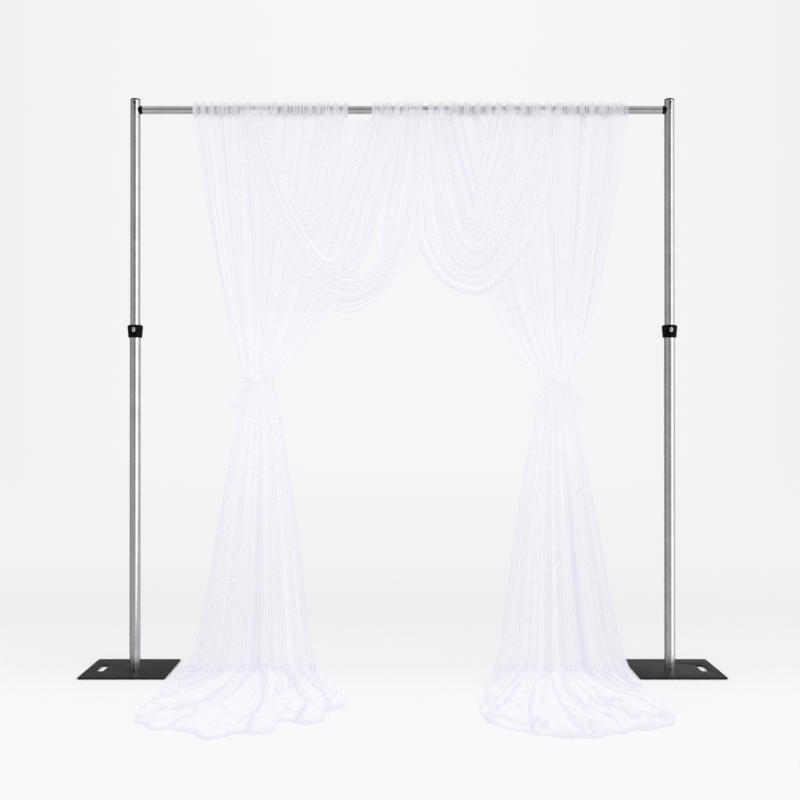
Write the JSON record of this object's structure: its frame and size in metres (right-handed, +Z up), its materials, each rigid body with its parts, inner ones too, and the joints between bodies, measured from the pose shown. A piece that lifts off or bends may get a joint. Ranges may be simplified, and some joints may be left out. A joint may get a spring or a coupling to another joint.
{
  "type": "pipe and drape backdrop",
  "caption": "Free-standing backdrop: telescopic masts on flat steel bases, an extending crossbar, sheer tied-back curtains with swags.",
  "frame": {"origin": "on the floor, under the middle of the whole part's box", "axes": "+Z up, +X along the crossbar to the viewer's right, -Y towards the viewer, where the curtains pool"},
  "size_m": [3.011, 1.3762, 2.743],
  "materials": {
    "powder_coat": "black powder coat, fine and slightly glossy",
    "aluminium_tube": "mill-drawn tube, satin",
    "cast_head": "machined, satin",
    "zinc_steel": "bright zinc plate",
    "button_chrome": "polished",
    "collar_plastic": "moulded, glossy",
    "nylon": "moulded",
    "pad_rubber": "moulded, matt",
    "tulle": "sheer white net with a cool tint"
  },
  "bodies": {
    "left_base": {"left_base_plate": "powder_coat", "left_spigot": "zinc_steel", "left_base_bolt": "zinc_steel", "left_lower_tube": "aluminium_tube", "left_foot_sleeve": "nylon", "left_foot_rivet_inner": "zinc_steel", "left_foot_rivet_outer": "zinc_steel", "left_collar": "collar_plastic", "left_pad_front_inner": "pad_rubber", "left_pad_front_outer": "pad_rubber", "left_pad_back_inner": "pad_rubber", "left_pad_back_outer": "pad_rubber", "left_pool": "tulle", "right_pool": "tulle", "left_lock_spring": "zinc_steel"},
    "left_mast": {"left_upper_tube": "aluminium_tube", "left_guide_plug": "nylon", "left_mast_head": "cast_head", "left_mast_cap": "collar_plastic"},
    "left_lock": {"left_lock_button": "button_chrome", "left_latch_ring": "zinc_steel"},
    "crossbar": {"left_bar_tube": "aluminium_tube", "left_hook": "collar_plastic", "left_bar_rivet": "zinc_steel", "left_panel": "tulle", "left_swag": "tulle", "left_sash": "tulle", "left_skirt": "tulle", "right_panel": "tulle", "right_swag": "tulle", "right_sash": "tulle", "right_skirt": "tulle"},
    "crossbar_right": {"right_bar_tube": "aluminium_tube", "inner_bar_tube": "aluminium_tube", "right_hook": "collar_plastic", "right_bar_rivet": "zinc_steel"},
    "right_mast": {"right_upper_tube": "aluminium_tube", "right_guide_plug": "nylon", "right_mast_head": "cast_head", "right_mast_cap": "collar_plastic"},
    "right_base": {"right_base_plate": "powder_coat", "right_spigot": "zinc_steel", "right_base_bolt": "zinc_steel", "right_lower_tube": "aluminium_tube", "right_foot_sleeve": "nylon", "right_foot_rivet_inner": "zinc_steel", "right_foot_rivet_outer": "zinc_steel", "right_collar": "collar_plastic", "right_pad_front_inner": "pad_rubber", "right_pad_front_outer": "pad_rubber", "right_pad_back_inner": "pad_rubber", "right_pad_back_outer": "pad_rubber", "right_lock_spring": "zinc_steel"},
    "right_lock": {"right_lock_button": "button_chrome", "right_latch_ring": "zinc_steel"}
  },
  "joints": [
    {"name": "mast_height", "type": "slide", "parent": "left_base", "child": "left_mast", "axis": [0, 0, 1], "range_m": [-0.915, 0], "deforming": ["left_skirt", "right_skirt"]},
    {"name": "crossbar_lift", "type": "slide", "parent": "left_mast", "child": "crossbar", "axis": [0, 0, 1], "range_m": [0, 0.034]},
    {"name": "crossbar_width", "type": "slide", "parent": "crossbar", "child": "crossbar_right", "axis": [1, 0, 0], "range_m": [-0.127, 0.483]},
    {"name": "right_end_lift", "type": "slide", "parent": "crossbar_right", "child": "right_mast", "axis": [0, 0, 1], "range_m": [-0.034, 0]},
    {"name": "right_mast_height", "type": "slide", "parent": "right_mast", "child": "right_base", "axis": [0, 0, 1], "range_m": [0, 0.915]},
    {"name": "left_lock_press", "type": "slide", "parent": "left_base", "child": "left_lock", "axis": [0, 1, 0], "range_m": [0, 0.004], "stiffness_N_per_m": 1500, "springref_m": -0.002, "deforming": ["left_lock_spring"]},
    {"name": "right_lock_press", "type": "slide", "parent": "right_base", "child": "right_lock", "axis": [0, 1, 0], "range_m": [0, 0.004], "stiffness_N_per_m": 1500, "springref_m": -0.002, "deforming": ["right_lock_spring"]}
  ],
  "couplings": [
    {"joint": "right_end_lift", "follows": "crossbar_lift", "ratio": -1},
    {"joint": "right_mast_height", "follows": "mast_height", "ratio": -1}
  ]
}
